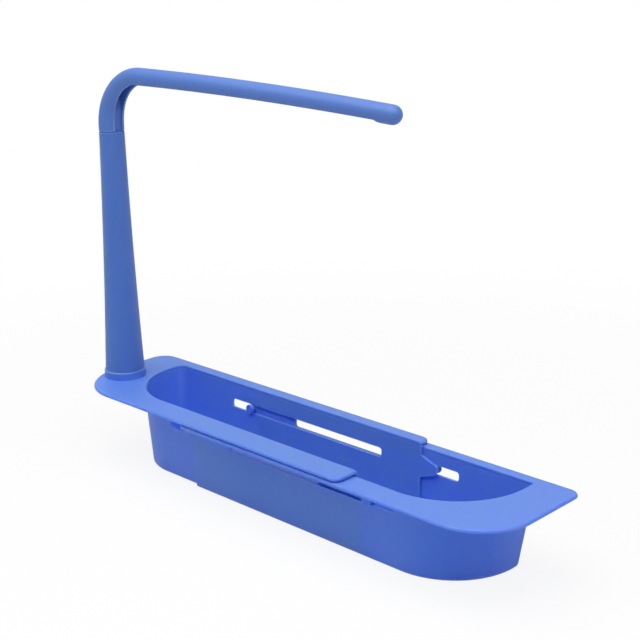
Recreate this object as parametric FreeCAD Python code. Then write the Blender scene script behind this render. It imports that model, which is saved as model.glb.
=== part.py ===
# Over-sink caddy: two telescoping trays, a plug-in post and a swivelling towel arm.
# Millimetres. X runs along the trays, Y from front to back, Z up.
# The origin is at the middle of the length and width, on the underside of the outer tray.
import FreeCAD
import Part
import math
import os
from types import SimpleNamespace

V = FreeCAD.Vector
up = V(0, 0, 1)
overrun = 20.0                # how far every cutting shape passes its piece
near = 0.01                   # an edge this close to a place is taken to lie there

# Whole caddy
closed_length = 344.6         # flange end to flange end, pushed together
opened = 16.0                 # how far the trays are drawn apart here
caddy_width = 85.0            # over the flanges

# Both trays
tray_depth = 52.5             # outer tray, flange top to underside
wall = 1.4
floor_thickness = 1.3
flange_thickness = 2.3
slide_gap = 0.4               # between the two trays' walls
flange_gap = 0.8              # between the two trays' flanges
floor_gap = 0.3               # between the two trays' floors
draft_angle = 6.3             # degrees, the front and back walls narrow downwards
hollow_round = 1.0            # bottom edge inside the trays
rim_round = 1.6               # top edge of a flange, outside
mouth_round = 0.6             # top edge round a tray's mouth
under_round = 0.5             # flange's underside rim
front_band = 16.3             # outer tray's flange in front of its mouth
back_band = 7.7               # outer tray's flange behind its mouth
small_corner = 5.0            # plan corners of the flanges

# Inner tray
platform_band = 29.7          # flange at the closed end, which carries the post
inner_straight = 10.2         # mouth's closed end beside the sweep
inner_end_corner = 5.5        # upright corner of the hollow at its closed end and back
inner_end_angle = 6.3         # degrees, draft of the closed end
inner_narrowing_share = 0.19  # how fast the sweep's radius falls, as a share of the depth
inner_foot_round = 1.2        # outside bottom edge
inner_closed_gap = 2.2        # tongue tip to the start of the other tray's sweep, pushed together
inner_front_corner = 40.0
inner_back_corner = 12.0
inner_lean = 2.5              # degrees, the wall's open end leans outwards downwards

# Outer tray
end_band = 26.9               # flange at the closed end
outer_straight = 11.0
outer_end_corner = 1.8
outer_end_angle = 6.8
outer_narrowing_share = 0.083
outer_foot_round = 3.6
outer_closed_gap = 7.4
outer_front_corner = 35.0
outer_back_corner = 7.0
outer_lean = 8.5

# Slots, and the tongues and pegs that run in them
slot_drop = 14.9              # inner flange top to the slots' middle line
slot_play = 0.25              # above and below a peg
slot_corner = 2.0
slot_margin = 30.6            # slot's end to the open end of its tray
tongue_length = 13.0
tongue_root = 13.6
tongue_tip = 5.2
peg_radius = 2.7
peg_setback = 3.2             # tongue tip to peg middle
peg_stop = 0.3                # left between peg and slot end at full travel
head_grip = 0.35              # how far a peg's head passes the slot's edge
head_thickness = 1.6
head_round = 0.5
head_gap = 0.9                # head to the wall it holds, at the head's middle

# Drain slots in both floors
drain_width = 4.0
drain_length = 22.0
drain_pitch = 18.0
drain_margin = 24.0           # last drain slot to the tray's ends

# Collar on the inner tray's platform
post_inset = 16.85            # caddy's end to the post's axis
post_forward = 7.8            # post's axis in front of the middle
collar_wall = 3.3
collar_height = 5.3
collar_round = 0.6

# Post
post_height = 166.5           # collar top to the seam with the arm
collar_ledge = 0.8            # collar's edge to the post's foot
post_waist_radius = 10.35     # halfway up
post_top_radius = 8.48
spigot_radius = 11.0
spigot_clearance = 0.1
spigot_recess = 0.3           # spigot's end above the platform's underside
spigot_chamfer = 0.6
post_wall = 2.2
seam_chamfer = 0.4            # post's top edge

# Towel arm
upright_length = 4.5          # seam to the start of the bend
seam_gap = 0.6                # groove round the arm's foot, above the post
seam_depth = 1.5
bend_radius = 32.7
arm_reach = 246.5             # post's axis to the middle of the ball end
bar_droop = 6.4               # ball end below the bar's start
bar_start_radius = 6.4
bar_end_radius = 5.5
pivot_radius = 6.0
pivot_length = 24.0
pivot_clearance = 0.08
upright_flat_share = 0.92     # flat under the section, from its middle, as a share of its radius
bar_flat_share = 0.67
flat_end_gap = 10.1           # end of the flat to the middle of the ball
flat_ramp = 5.5               # length over which the flat runs out
ramp_fall = 3.8               # how far the flat falls over that length, past the round bottom
channel_width = 6.6           # channel under the whole arm
channel_end_gap = 15.7        # end of the channel to the middle of the ball
channel_foot_depth = 1.4      # where the channel is shallow, up the arm's foot
channel_foot_share = 0.2      # where it starts to deepen, as a share of the bend
channel_full_share = 0.45     # where it is fully deep
channel_floor_share = 0.15    # bulge of the shallow floor, as a share of the deep one's
bend_steps = 8
channel_steps = 20
bar_steps = 4

half_width = caddy_width / 2
half_length = (closed_length + opened) / 2
draft = math.tan(math.radians(draft_angle))
outer_top = tray_depth
inner_top = outer_top + flange_gap + flange_thickness
slot_level = inner_top - slot_drop
slot_height = 2 * (peg_radius + slot_play)
head_radius = slot_height / 2 + head_grip

# The inner tray's walls stand one wall and one gap inside the outer tray's
nest = wall + slide_gap - draft * (inner_top - outer_top)
outer_tray = SimpleNamespace(
    side=1, top=outer_top, under=0.0, band=end_band, straight=outer_straight,
    front=front_band - half_width, back=half_width - back_band,
    end_corner=outer_end_corner, end_angle=outer_end_angle, narrowing=outer_narrowing_share,
    foot=outer_foot_round, closed_gap=outer_closed_gap,
    front_corner=outer_front_corner, back_corner=outer_back_corner, lean=outer_lean)
inner_tray = SimpleNamespace(
    side=-1, top=inner_top, under=floor_thickness + floor_gap, band=platform_band, straight=inner_straight,
    front=outer_tray.front + nest, back=outer_tray.back - nest,
    end_corner=inner_end_corner, end_angle=inner_end_angle, narrowing=inner_narrowing_share,
    foot=inner_foot_round, closed_gap=inner_closed_gap,
    front_corner=inner_front_corner, back_corner=inner_back_corner, lean=inner_lean)
for tray in (outer_tray, inner_tray):
    tray.arc = tray.back - tray.front - tray.straight
    tray.tip = tray.side * half_length
    tray.end = tray.tip - tray.side * tray.band
for tray, other in ((outer_tray, inner_tray), (inner_tray, outer_tray)):
    tray.length = closed_length - other.band - other.arc - tongue_length - tray.closed_gap
    tray.open = tray.tip - tray.side * tray.length
    tray.tongue_end = tray.open - tray.side * tongue_length
    tray.peg = tray.tongue_end + tray.side * peg_setback
    tray.far = tray.tongue_end - tray.side * overrun
peg_reach = peg_radius + peg_stop
overlap = inner_tray.length + outer_tray.length + tongue_length - peg_setback - closed_length
travel = overlap - slot_margin - peg_reach

bore_radius = spigot_radius + spigot_clearance
collar_radius = bore_radius + collar_wall
post_foot_radius = collar_radius - collar_ledge
post_axis = V(post_inset - half_length, -post_forward, 0)
platform_under = inner_top - flange_thickness
spigot_bottom = platform_under + spigot_recess
collar_top = inner_top + collar_height
seam_level = collar_top + post_height
bend_level = seam_level + upright_length
bar_run = arm_reach - bend_radius


def line(start, end):
    return Part.LineSegment(start, end).toShape()


def quarter_arc(start, end, centre):
    outwards = (start - centre) + (end - centre)
    middle = centre + outwards.normalize() * (start - centre).Length
    return Part.Arc(start, middle, end).toShape()


def polygon_face(points):
    return Part.Face(Part.makePolygon(points + points[:1]))


# Edges of a shape that lie wholly at the given x, y or z
def edges_at(shape, **place):
    def lies(edge):
        points = edge.discretize(3)
        offsets = [abs(getattr(point, axis) - value) for point in points for axis, value in place.items()]
        return max(offsets) < near
    return [edge for edge in shape.Edges if lies(edge)]


# Whether an edge's middle lies on a shape's skin
def touches(edge, shape):
    middle = Part.Vertex(edge.discretize(3)[1])
    return min(middle.distToShape(face)[0] for face in shape.Faces) < near


def without(edges, others):
    return [edge for edge in edges if not any(edge.isSame(other) for other in others)]


# Wall outline seen from above at a level, inset from the mouth's line: front, sweep, closed end and back
def wall_outline(tray, inset, level):
    drop = tray.top - level
    narrowed = inset + draft * drop
    front = tray.front + narrowed
    back = tray.back - narrowed
    end = tray.end - tray.side * (inset + math.tan(math.radians(tray.end_angle)) * drop)
    sweep = tray.arc - inset - tray.narrowing * drop
    corner = tray.end_corner - inset
    sweep_start = V(end - tray.side * sweep, front, level)
    sweep_end = V(end, front + sweep, level)
    corner_start = V(end, back - corner, level)
    corner_end = V(end - tray.side * corner, back, level)
    far_back = V(tray.far, back, level)
    far_front = V(tray.far, front, level)
    arcs = [(sweep_start, sweep_end, V(sweep_start.x, sweep_end.y, level)),
            (corner_start, corner_end, V(corner_end.x, corner_start.y, level))]
    sides = [(far_front, sweep_start), (sweep_end, corner_start),
             (corner_end, far_back), (far_back, far_front)]
    if tray.side > 0:
        arcs = [(end, start, centre) for start, end, centre in arcs]
        sides = [(end, start) for start, end in sides]
    return [quarter_arc(*arc) for arc in arcs], sides


# Block with the drafted walls between two levels, run on past the open end
def wall_block(tray, inset, top, bottom):
    low_arcs, low_sides = wall_outline(tray, inset, bottom)
    high_arcs, high_sides = wall_outline(tray, inset, top)
    faces = [Part.Face(Part.Wire(Part.sortEdges(arcs + [line(a, b) for a, b in sides])[0]))
             for arcs, sides in ((low_arcs, low_sides), (high_arcs, high_sides))]
    faces += [polygon_face([a, b, d, c]) for (a, b), (c, d) in zip(low_sides, high_sides)]
    faces += [Part.makeRuledSurface(low, high) for low, high in zip(low_arcs, high_arcs)]
    return Part.makeSolid(Part.makeShell(faces))


# Outside or hollow of a tray, with its rounded bottom edge
def tray_block(tray, inset, top, bottom, rounding):
    block = wall_block(tray, inset, top, bottom)
    return block.makeFillet(rounding, without(edges_at(block, z=bottom), edges_at(block, x=tray.far)))


# Side view of what is kept of the walls: the leaning open end with its tongue
def side_block(tray):
    lean = tray.side * math.tan(math.radians(tray.lean))

    def open_end(level):
        return tray.open - lean * (tray.top - level)
    top = tray.top + overrun
    bottom = tray.under - overrun
    past_tip = tray.tip + tray.side * overrun
    root_top = slot_level + tongue_root / 2
    root_bottom = slot_level - tongue_root / 2
    outline = [(past_tip, top), (open_end(top), top), (open_end(root_top), root_top),
               (tray.tongue_end, slot_level + tongue_tip / 2), (tray.tongue_end, slot_level - tongue_tip / 2),
               (open_end(root_bottom), root_bottom), (open_end(bottom), bottom), (past_tip, bottom)]
    return polygon_face([V(x, -half_width, z) for x, z in outline]).extrude(V(0, caddy_width, 0))


# Flange with its plan corners, its mouth and its rounded rims
def flange(tray):
    under = tray.top - flange_thickness
    start = V(min(tray.tip, tray.open), -half_width, under)
    plate = Part.makeBox(tray.length, caddy_width, flange_thickness, start)
    corners = [(tray.tip, -half_width, tray.front_corner), (tray.tip, half_width, tray.back_corner),
               (tray.open, -half_width, small_corner), (tray.open, half_width, small_corner)]
    for x, y, radius in corners:
        plate = plate.makeFillet(radius, edges_at(plate, x=x, y=y))
    mouth = wall_block(tray, 0, tray.top + overrun, under - overrun)
    plate = plate.makeFillet(under_round, edges_at(plate, z=under))
    plate = plate.makeFillet(rim_round, edges_at(plate, z=tray.top)).cut(mouth)
    mouth_edges = [edge for edge in edges_at(plate, z=tray.top) if touches(edge, mouth)]
    return plate.makeFillet(mouth_round, mouth_edges)


# Slot through both long walls, where the other tray's pegs travel
def slot(tray, other):
    closed = other.peg - other.side * (opened + peg_reach)
    spread = other.peg + other.side * (travel - opened + peg_reach)
    low = slot_level - slot_height / 2
    high = slot_level + slot_height / 2
    start = V(min(closed, spread), -half_width, low)
    box = Part.makeBox(abs(spread - closed), caddy_width, slot_height, start)
    corners = [edges_at(box, x=x, z=z) for x in (closed, spread) for z in (low, high)]
    return box.makeFillet(slot_corner, sum(corners, []))


# Peg from a tongue through the other tray's slot, with a head behind that tray's wall
def peg(tray, wall_middle, direction):
    start = V(tray.peg, wall_middle, slot_level)
    axis = V(0, direction, 0)
    length = wall / 2 + slide_gap + wall + head_gap
    face = start + axis * length
    shaft = Part.makeCylinder(peg_radius, length, start, axis)
    head = Part.makeCylinder(head_radius, head_thickness, face, axis)
    rims = edges_at(head, y=face.y) + edges_at(head, y=face.y + direction * head_thickness)
    return shaft.fuse(head.makeFillet(head_round, rims))


def pegs(tray, outwards):
    rise = draft * (tray.top - slot_level)
    back = tray.back - rise + wall / 2
    front = tray.front + rise - wall / 2
    return [peg(tray, back, outwards), peg(tray, front, -outwards)]


# Row of round-ended drain slots across the floor
def drains(tray):
    middle = (tray.front + tray.back) / 2
    start = tray.end - tray.side * drain_margin
    room = abs(tray.open - start) - drain_margin
    straight = drain_length - drain_width
    low = tray.under - overrun
    height = floor_thickness + 2 * overrun
    cutters = []
    for index in range(int(room / drain_pitch) + 1):
        x = start - tray.side * index * drain_pitch
        front = middle - straight / 2
        cutters.append(Part.makeBox(drain_width, straight, height, V(x - drain_width / 2, front, low)))
        for y in (front, front + straight):
            cutters.append(Part.makeCylinder(drain_width / 2, height, V(x, y, low)))
    return cutters


def make_tray(tray, other, outwards):
    under_flange = tray.top - flange_thickness
    floor = tray.under + floor_thickness
    outside = tray_block(tray, -wall, under_flange, tray.under, tray.foot)
    hollow = tray_block(tray, 0, tray.top + overrun, floor, hollow_round)
    body = outside.cut(hollow).common(side_block(tray)).fuse(flange(tray))
    body = body.cut([slot(tray, other)] + drains(tray))
    return body.fuse(pegs(tray, outwards))


def make_inner_tray():
    body = make_tray(inner_tray, outer_tray, 1)
    base = post_axis + up * platform_under
    collar = Part.makeCylinder(collar_radius, collar_top - base.z, base)
    collar = collar.makeFillet(collar_round, edges_at(collar, z=collar_top))
    bore = Part.makeCylinder(bore_radius, collar_top - base.z + 2 * overrun, base - up * overrun)
    return body.fuse(collar).cut(bore)


def make_outer_tray():
    return make_tray(outer_tray, inner_tray, -1)


# Turned profile: bowed side, arm's socket at the top, hollow core and spigot below the foot
def make_post():
    socket = pivot_radius + pivot_clearance
    socket_floor = seam_level - pivot_length - seam_chamfer
    core = spigot_radius - post_wall

    def at(radius, level):
        return post_axis + V(radius, 0, level)
    foot = at(post_foot_radius, collar_top)
    waist = at(post_waist_radius, (collar_top + seam_level) / 2)
    neck = at(post_top_radius, seam_level - seam_chamfer)
    inside = [at(socket, seam_level), at(socket, socket_floor), at(core, collar_top), at(core, spigot_bottom)]
    spigot = [at(spigot_radius - spigot_chamfer, spigot_bottom),
              at(spigot_radius, spigot_bottom + spigot_chamfer),
              at(spigot_radius, collar_top)]
    path = [neck, at(post_top_radius - seam_chamfer, seam_level)] + inside + spigot + [foot]
    edges = [Part.Arc(foot, waist, neck).toShape()] + [line(a, b) for a, b in zip(path, path[1:])]
    return Part.Face(Part.Wire(edges)).revolve(post_axis, up, 360)


# Smooth step from nought to one
def ease(share):
    part = min(max(share, 0), 1)
    return part * part * (3 - 2 * part)


# Stations along the arm: middle of the section, its turn from upright, its radius, its flat's share
# and how far the channel has deepened there
def bend_station(share):
    turn = math.pi / 2 * share
    point = post_axis + V(bend_radius * (1 - math.cos(turn)), 0, bend_level + bend_radius * math.sin(turn))
    radius = post_top_radius + (bar_start_radius - post_top_radius) * ease(share)
    flat = upright_flat_share + (bar_flat_share - upright_flat_share) * ease(share)
    deep = ease((share - channel_foot_share) / (channel_full_share - channel_foot_share))
    return point, turn, radius, flat, deep


def bar_station(share):
    slope = math.atan(2 * bar_droop * share / bar_run)
    height = bend_level + bend_radius - bar_droop * share * share
    point = post_axis + V(bend_radius + bar_run * share, 0, height)
    radius = bar_start_radius + (bar_end_radius - bar_start_radius) * share
    return point, math.pi / 2 + slope, radius, bar_flat_share, 1


def stations(station, first, last, steps):
    return [station(first + (last - first) * index / steps) for index in range(steps + 1)]


# Direction from a section's middle towards the inside of the bend, which is under the bar
def inwards(turn):
    return V(math.cos(turn), 0, -math.sin(turn))


def round_section(point, turn, radius, flat, deep):
    across = V(0, radius, 0)
    inner = inwards(turn) * radius
    outer_half = Part.Arc(point - across, point - inner, point + across).toShape()
    return Part.Wire([outer_half, Part.Arc(point + across, point + inner, point - across).toShape()])


# Cut under the arm that leaves a flat, open towards the inside of the bend
def flat_section(point, turn, radius, flat, deep):
    inner = inwards(turn)
    half = V(0, radius + overrun, 0)
    floor = point + inner * radius * flat
    mouth = point + inner * ((radius + bend_radius) / 2)
    return Part.makePolygon([floor - half, floor + half, mouth + half, mouth - half, floor - half])


# Channel with a bulging floor, which deepens to the middle of the section
def channel_section(point, turn, radius, flat, deep):
    inner = inwards(turn)
    half = V(0, channel_width / 2, 0)
    bulge = half.y * (channel_floor_share + (1 - channel_floor_share) * deep)
    edge = point + inner * ((radius * flat - channel_foot_depth) * (1 - deep))
    mouth = point + inner * ((radius + bend_radius) / 2)
    floor = Part.Arc(edge - half, edge - inner * bulge, edge + half).toShape()
    return Part.Wire([floor, line(edge + half, mouth + half), line(mouth + half, mouth - half),
                      line(mouth - half, edge - half)])


def loft(section, places, straight=False):
    return Part.makeLoft([section(*place) for place in places], True, straight)


# The flat runs out before the ball, so that the ball end is fully round
def flat_run_out(share):
    point, turn, radius, flat, deep = bar_station(share)
    return point, turn, radius, flat + ramp_fall / radius, deep


def make_arm():
    bend = stations(bend_station, 0, 1, bend_steps)
    bar = stations(bar_station, 0, 1, bar_steps)
    foot = post_axis + up * seam_level
    foot_radius = post_top_radius
    upright = Part.makeCylinder(foot_radius, upright_length, foot)
    neck = Part.makeCylinder(foot_radius - seam_depth, seam_gap, foot)
    groove = Part.makeCylinder(foot_radius + overrun, seam_gap, foot).cut(neck)
    end, turn, radius, flat, deep = bar[-1]
    ball = Part.makeSphere(radius, end, V(math.sin(turn), 0, math.cos(turn)), 0, 90)
    pivot = Part.makeCylinder(pivot_radius, pivot_length + seam_chamfer, foot - up * pivot_length)
    body = upright.fuse([loft(round_section, bend), loft(round_section, bar), ball])

    flat_end = 1 - flat_end_gap / bar_run
    ramp_end = flat_end + flat_ramp / bar_run
    channel_end = 1 - channel_end_gap / bar_run
    low = (foot - up * overrun, 0, foot_radius, upright_flat_share, 0)
    cuts = [loft(flat_section, [low, bend[0]]),
            loft(flat_section, bend),
            loft(flat_section, stations(bar_station, 0, flat_end, bar_steps)),
            loft(flat_section, [bar_station(flat_end), flat_run_out(ramp_end)], True),
            loft(channel_section, [low, bend[0]]),
            loft(channel_section, stations(bend_station, 0, 1, channel_steps)),
            loft(channel_section, stations(bar_station, 0, channel_end, bar_steps)),
            groove]
    for cut in cuts:
        body = body.cut(cut)
    return body.fuse(pivot)


os.makedirs("parts", exist_ok=True)
pieces = {
    "inner_tray": make_inner_tray(),
    "outer_tray": make_outer_tray(),
    "post": make_post(),
    "towel_arm": make_arm(),
}
for name, shape in pieces.items():
    shape = shape.removeSplitter()
    print(name, shape.isValid(), len(shape.Solids), round(shape.Volume))
    shape.exportStep("parts/" + name + ".step")
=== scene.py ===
import math

import bpy
from mathutils import Matrix, Vector

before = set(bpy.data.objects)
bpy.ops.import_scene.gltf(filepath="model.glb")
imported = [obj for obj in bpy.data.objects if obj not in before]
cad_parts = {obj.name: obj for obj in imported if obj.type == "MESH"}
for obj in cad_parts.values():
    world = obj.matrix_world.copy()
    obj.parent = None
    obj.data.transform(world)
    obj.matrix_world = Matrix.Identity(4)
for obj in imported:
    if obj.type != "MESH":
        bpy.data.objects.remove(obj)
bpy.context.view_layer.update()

print("frame loaded:", ", ".join(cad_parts))


# small helpers for node trees
def addNode(tree, kind, place, **values):
    node = tree.nodes.new(kind)
    node.location = place
    for key, value in values.items():
        setattr(node, key, value)
    return node


def setInputs(node, values):
    for socketName, value in values.items():
        node.inputs[socketName].default_value = value


def link(tree, source, target):
    tree.links.new(source, target)


def newGroup(name, inputs, outputs):
    group = bpy.data.node_groups.new(name, "ShaderNodeTree")
    for direction, sockets in (("INPUT", inputs), ("OUTPUT", outputs)):
        for socketName, kind in sockets.items():
            group.interface.new_socket(name=socketName, in_out=direction, socket_type="NodeSocket" + kind)
    start = addNode(group, "NodeGroupInput", (-900, 0))
    end = addNode(group, "NodeGroupOutput", (700, 0))
    return group, start, end


# spark-eroded mould skin: a fine grain with a faint slow ripple under it
skinNoise = {
    "grainDetail": 3.0,
    "grainRoughness": 0.6,
    "rippleDetail": 1.0,
}


def makeMouldSkin():
    group, start, end = newGroup(
        "mouldSkin",
        {"Vector": "Vector", "Grain Scale": "Float", "Ripple Scale": "Float", "Ripple Share": "Float"},
        {"Height": "Float"})
    grain = addNode(group, "ShaderNodeTexNoise", (-600, 160))
    setInputs(grain, {"Detail": skinNoise["grainDetail"], "Roughness": skinNoise["grainRoughness"]})
    ripple = addNode(group, "ShaderNodeTexNoise", (-600, -120))
    setInputs(ripple, {"Detail": skinNoise["rippleDetail"]})
    lift = addNode(group, "ShaderNodeMath", (-250, -120), operation="MULTIPLY")
    total = addNode(group, "ShaderNodeMath", (0, 0), operation="ADD")
    link(group, start.outputs["Vector"], grain.inputs["Vector"])
    link(group, start.outputs["Vector"], ripple.inputs["Vector"])
    link(group, start.outputs["Grain Scale"], grain.inputs["Scale"])
    link(group, start.outputs["Ripple Scale"], ripple.inputs["Scale"])
    link(group, ripple.outputs["Fac"], lift.inputs[0])
    link(group, start.outputs["Ripple Share"], lift.inputs[1])
    link(group, grain.outputs["Fac"], total.inputs[0])
    link(group, lift.outputs[0], total.inputs[1])
    link(group, total.outputs[0], end.inputs["Height"])
    return group


# pigment streaks along the way the melt ran, and patches that are rubbed smoother
flowNoise = {
    "streakDetail": 4.0,
    "patchScale": 28.0,
    "patchDetail": 3.0,
    "patchLow": 0.3,          # noise at which a patch is rubbed most
    "patchHigh": 0.7,         # and at which it is dull
}


def makeMeltFlow():
    group, start, end = newGroup(
        "meltFlow",
        {"Vector": "Vector", "Deep": "Color", "Pale": "Color", "Streak Scale": "Float",
         "Dull": "Float", "Rubbed": "Float"},
        {"Color": "Color", "Roughness": "Float"})
    streaks = addNode(group, "ShaderNodeTexNoise", (-600, 200))
    setInputs(streaks, {"Detail": flowNoise["streakDetail"]})
    patches = addNode(group, "ShaderNodeTexNoise", (-600, -150))
    setInputs(patches, {"Scale": flowNoise["patchScale"], "Detail": flowNoise["patchDetail"]})
    tint = addNode(group, "ShaderNodeMix", (100, 200), data_type="RGBA")
    polish = addNode(group, "ShaderNodeMapRange", (100, -150))
    setInputs(polish, {"From Min": flowNoise["patchLow"], "From Max": flowNoise["patchHigh"]})
    link(group, start.outputs["Vector"], streaks.inputs["Vector"])
    link(group, start.outputs["Vector"], patches.inputs["Vector"])
    link(group, start.outputs["Streak Scale"], streaks.inputs["Scale"])
    link(group, streaks.outputs["Fac"], tint.inputs["Factor"])
    link(group, start.outputs["Deep"], tint.inputs["A"])
    link(group, start.outputs["Pale"], tint.inputs["B"])
    link(group, tint.outputs["Result"], end.inputs["Color"])
    link(group, patches.outputs["Fac"], polish.inputs["Value"])
    link(group, start.outputs["Rubbed"], polish.inputs["To Min"])
    link(group, start.outputs["Dull"], polish.inputs["To Max"])
    link(group, polish.outputs["Result"], end.inputs["Roughness"])
    return group


mouldSkin = makeMouldSkin()
meltFlow = makeMeltFlow()

# the blue plastic, its shades and the way the melt ran in each moulding; the post and arm blues are
# darker partly for their own duller tone and partly as painted shade that evens out the extra light they
# get
bluePlastic = {
    "streakScale": 60.0,
    "dull": 0.62,
    "rubbed": 0.54,
    "grainScale": 1500.0,     # grains per metre, about 0.7 mm each
    "grainDepth": 0.00003,    # metres
    "grainStrength": 0.35,
    "rippleScale": 45.0,
    "rippleShare": 0.6,
    "specular": 0.9,
    "milkReach": (0.0004, 0.0009, 0.0030),    # metres, for red, green and blue
    "milkScale": 1.0,
    "edgeReach": 0.0008,      # metres beside an outer edge that get the painted highlight
    "edgeStart": 0.95,        # openness inside the plastic at which the painted edge highlight starts
    "edgeFull": 0.60,         # and at which it is full
    "edgeSamples": 8,
    # painted highlight: a paler blue laid along outer edges, standing in for the light their rounding
    # catches
    "paintedEdgeHighlight": (0.18, 0.36, 0.86, 1),
    "edgeHighlightShare": 0.6,
}
trayBlue = {"deep": (0.093, 0.236, 0.75, 1), "pale": (0.103, 0.252, 0.78, 1)}
# painted shade in part: the post and arm are darker copies of the tray blue, held down because more light
# reaches them than the shaded tray walls
postBlueWithPaintedShade = {"deep": (0.074, 0.198, 0.60, 1), "pale": (0.083, 0.213, 0.63, 1)}
armBlueWithPaintedShade = {"deep": (0.047, 0.147, 0.515, 1), "pale": (0.053, 0.159, 0.54, 1)}
mouldings = {
    "inner_tray": {"blue": trayBlue, "run": (0.25, 1.0, 1.0), "milk": 1.0},
    "outer_tray": {"blue": trayBlue, "run": (0.25, 1.0, 1.0), "milk": 1.0},
    "post": {"blue": postBlueWithPaintedShade, "run": (1.0, 1.0, 0.2), "milk": 1.0},
    "towel_arm": {"blue": armBlueWithPaintedShade, "run": (0.2, 1.0, 1.0), "milk": 0.0},
}


def makePlastic(name, moulding):
    material = bpy.data.materials.new("bluePolypropylene_" + name)
    material.use_nodes = True
    tree = material.node_tree
    shader = tree.nodes["Principled BSDF"]
    place = addNode(tree, "ShaderNodeTexCoord", (-1100, 0))
    stretch = addNode(tree, "ShaderNodeMapping", (-900, 150))
    setInputs(stretch, {"Scale": moulding["run"]})
    flow = addNode(tree, "ShaderNodeGroup", (-600, 200), node_tree=meltFlow)
    setInputs(flow, {"Deep": moulding["blue"]["deep"], "Pale": moulding["blue"]["pale"],
                     "Streak Scale": bluePlastic["streakScale"],
                     "Dull": bluePlastic["dull"], "Rubbed": bluePlastic["rubbed"]})
    skin = addNode(tree, "ShaderNodeGroup", (-600, -200), node_tree=mouldSkin)
    setInputs(skin, {"Grain Scale": bluePlastic["grainScale"],
                     "Ripple Scale": bluePlastic["rippleScale"],
                     "Ripple Share": bluePlastic["rippleShare"]})
    # painted highlight: inward-looking occlusion finds the outer edges, and the colour there is paled
    # towards the highlight blue
    edge = addNode(tree, "ShaderNodeAmbientOcclusion", (-900, 450), inside=True, only_local=True)
    edge.samples = bluePlastic["edgeSamples"]
    setInputs(edge, {"Distance": bluePlastic["edgeReach"]})
    edgeHighlightMask = addNode(tree, "ShaderNodeMapRange", (-600, 450))
    setInputs(edgeHighlightMask, {"From Min": bluePlastic["edgeStart"], "From Max": bluePlastic["edgeFull"],
                       "To Max": bluePlastic["edgeHighlightShare"]})
    edgeHighlightMix = addNode(tree, "ShaderNodeMix", (-250, 200), data_type="RGBA")
    setInputs(edgeHighlightMix, {"B": bluePlastic["paintedEdgeHighlight"]})
    bump = addNode(tree, "ShaderNodeBump", (-250, -200))
    setInputs(bump, {"Strength": bluePlastic["grainStrength"], "Distance": bluePlastic["grainDepth"]})
    setInputs(shader, {"Specular IOR Level": bluePlastic["specular"],
                       "Subsurface Weight": moulding["milk"],
                       "Subsurface Radius": bluePlastic["milkReach"],
                       "Subsurface Scale": bluePlastic["milkScale"]})
    link(tree, place.outputs["Object"], stretch.inputs["Vector"])
    link(tree, stretch.outputs["Vector"], flow.inputs["Vector"])
    link(tree, place.outputs["Object"], skin.inputs["Vector"])
    link(tree, edge.outputs["AO"], edgeHighlightMask.inputs["Value"])
    link(tree, edgeHighlightMask.outputs["Result"], edgeHighlightMix.inputs["Factor"])
    link(tree, flow.outputs["Color"], edgeHighlightMix.inputs["A"])
    link(tree, edgeHighlightMix.outputs["Result"], shader.inputs["Base Color"])
    link(tree, flow.outputs["Roughness"], shader.inputs["Roughness"])
    link(tree, skin.outputs["Height"], bump.inputs["Height"])
    link(tree, bump.outputs["Normal"], shader.inputs["Normal"])
    return material


for nodeName, moulding in mouldings.items():
    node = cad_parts[nodeName]
    plastic = makePlastic(nodeName, moulding)
    for slot in node.material_slots:
        slot.link = "OBJECT"
        slot.material = plastic
    print("plastic on", nodeName)

# studio: white floor and surround with a low fill, and soft lights overhead and at the right
studio = {
    "floorSize": 12.0,
    "floorColour": (0.95, 0.95, 0.95, 1),
    "glowNear": 0.88,         # share of the floor's white that takes no shadow, under the caddy
    "glowFar": 1.0,
    "nearReach": 0.15,        # metres from the caddy's middle at which the share starts to grow
    "farReach": 0.75,         # and at which it is full
    "surroundColour": (1, 1, 1, 1),
    "seenWhite": 1.0,
    "behind": (-0.69, 0.72, 0.0),    # direction behind the caddy, seen from the camera
    "fillFront": 0.17,
    "fillBehind": 0.14,
    "lightAim": (0.0, 0.0, 0.08),
}
softboxes = {
    "overheadSoftbox": {"size": 1.1, "place": (-0.15, -0.35, 1.15), "power": 10.5},
    "sideSoftbox": {"size": 1.2, "place": (0.80, -0.10, 1.10), "power": 7.6},
}


# 1 for the rays that show the studio as plain white:
# the camera's, and those mirrored or let through to it
def plainWhiteRays(tree):
    path = addNode(tree, "ShaderNodeLightPath", (-900, 400))
    mirrored = addNode(tree, "ShaderNodeMath", (-700, 400), operation="MAXIMUM")
    total = addNode(tree, "ShaderNodeMath", (-500, 400), operation="MAXIMUM")
    link(tree, path.outputs["Is Camera Ray"], mirrored.inputs[0])
    link(tree, path.outputs["Is Glossy Ray"], mirrored.inputs[1])
    link(tree, mirrored.outputs[0], total.inputs[0])
    link(tree, path.outputs["Is Transmission Ray"], total.inputs[1])
    return total.outputs[0]


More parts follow.
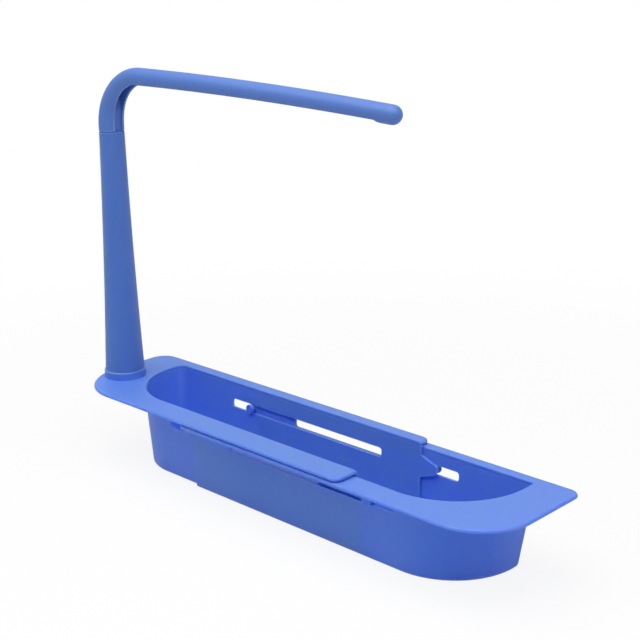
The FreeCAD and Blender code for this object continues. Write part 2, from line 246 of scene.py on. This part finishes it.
def makeFloor():
    bpy.ops.mesh.primitive_plane_add(size=studio["floorSize"])
    floor = bpy.context.object
    floor.name = "studioFloor"
    material = bpy.data.materials.new("studioWhite")
    material.use_nodes = True
    tree = material.node_tree
    tree.nodes.remove(tree.nodes["Principled BSDF"])
    place = addNode(tree, "ShaderNodeTexCoord", (-900, 100))
    distance = addNode(tree, "ShaderNodeVectorMath", (-700, 100), operation="LENGTH")
    share = addNode(tree, "ShaderNodeMapRange", (-500, 100), interpolation_type="SMOOTHSTEP")
    setInputs(share, {"From Min": studio["nearReach"], "From Max": studio["farReach"],
                      "To Min": studio["glowNear"], "To Max": studio["glowFar"]})
    seen = addNode(tree, "ShaderNodeMath", (-250, 300), operation="MULTIPLY")
    paint = addNode(tree, "ShaderNodeBsdfDiffuse", (-250, 0))
    setInputs(paint, {"Color": studio["floorColour"]})
    glow = addNode(tree, "ShaderNodeEmission", (-250, -200))
    both = addNode(tree, "ShaderNodeMixShader", (0, 0))
    link(tree, place.outputs["Object"], distance.inputs[0])
    link(tree, distance.outputs["Value"], share.inputs["Value"])
    link(tree, share.outputs["Result"], seen.inputs[0])
    link(tree, plainWhiteRays(tree), seen.inputs[1])
    link(tree, seen.outputs[0], both.inputs["Fac"])
    link(tree, paint.outputs[0], both.inputs[1])
    link(tree, glow.outputs[0], both.inputs[2])
    link(tree, both.outputs[0], tree.nodes["Material Output"].inputs["Surface"])
    floor.data.materials.append(material)


def makeSurround():
    world = bpy.data.worlds.new("studioSurround")
    bpy.context.scene.world = world
    world.use_nodes = True
    tree = world.node_tree
    background = tree.nodes["Background"]
    setInputs(background, {"Color": studio["surroundColour"]})
    place = addNode(tree, "ShaderNodeTexCoord", (-900, 100))
    facing = addNode(tree, "ShaderNodeVectorMath", (-700, 100), operation="DOT_PRODUCT")
    facing.inputs[1].default_value = studio["behind"]
    level = addNode(tree, "ShaderNodeMapRange", (-500, 100), interpolation_type="SMOOTHSTEP")
    setInputs(level, {"From Min": -1.0,    # straight in front
                      "To Min": studio["fillFront"], "To Max": studio["fillBehind"]})
    strength = addNode(tree, "ShaderNodeMix", (-250, 200))
    setInputs(strength, {"B": studio["seenWhite"]})
    link(tree, place.outputs["Generated"], facing.inputs[0])
    link(tree, facing.outputs["Value"], level.inputs["Value"])
    link(tree, plainWhiteRays(tree), strength.inputs["Factor"])
    link(tree, level.outputs["Result"], strength.inputs["A"])
    link(tree, strength.outputs["Result"], background.inputs["Strength"])


def makeSoftbox(name, box):
    lamp = bpy.data.lights.new(name, "AREA")
    lamp.size = box["size"]
    lamp.energy = box["power"]
    light = bpy.data.objects.new(name, lamp)
    bpy.context.collection.objects.link(light)
    light.location = box["place"]
    towards = Vector(studio["lightAim"]) - light.location
    light.rotation_euler = towards.to_track_quat("-Z", "Y").to_euler()


makeFloor()
makeSurround()
for boxName, box in softboxes.items():
    makeSoftbox(boxName, box)
print("studio set")

# camera at the photograph's viewing angle
view = {
    "azimuth": 43.8326,
    "elevation": 16.4947,
    "roll": -0.6327,
    "eye": (0.52457, -0.52536, 0.34571),
    "lens": 71.36,
    "sensor": 36.0,
}


def makeCamera():
    a = math.radians(view["azimuth"])
    e = math.radians(view["elevation"])
    r = math.radians(view["roll"])
    right = Vector((math.cos(a), math.sin(a), 0))
    forward = Vector((-math.sin(a) * math.cos(e), math.cos(a) * math.cos(e), -math.sin(e)))
    above = Vector((-math.sin(a) * math.sin(e), math.cos(a) * math.sin(e), math.cos(e)))
    across = right * math.cos(r) + above * math.sin(r)
    upwards = above * math.cos(r) - right * math.sin(r)
    lens = bpy.data.cameras.new("productCamera")
    lens.lens = view["lens"]
    lens.sensor_width = view["sensor"]
    camera = bpy.data.objects.new("productCamera", lens)
    bpy.context.collection.objects.link(camera)
    turn = Matrix((across, upwards, -forward)).transposed().to_4x4()
    camera.matrix_world = Matrix.Translation(view["eye"]) @ turn
    bpy.context.scene.camera = camera


makeCamera()
bpy.context.scene.view_settings.view_transform = "Standard"
print("camera set")
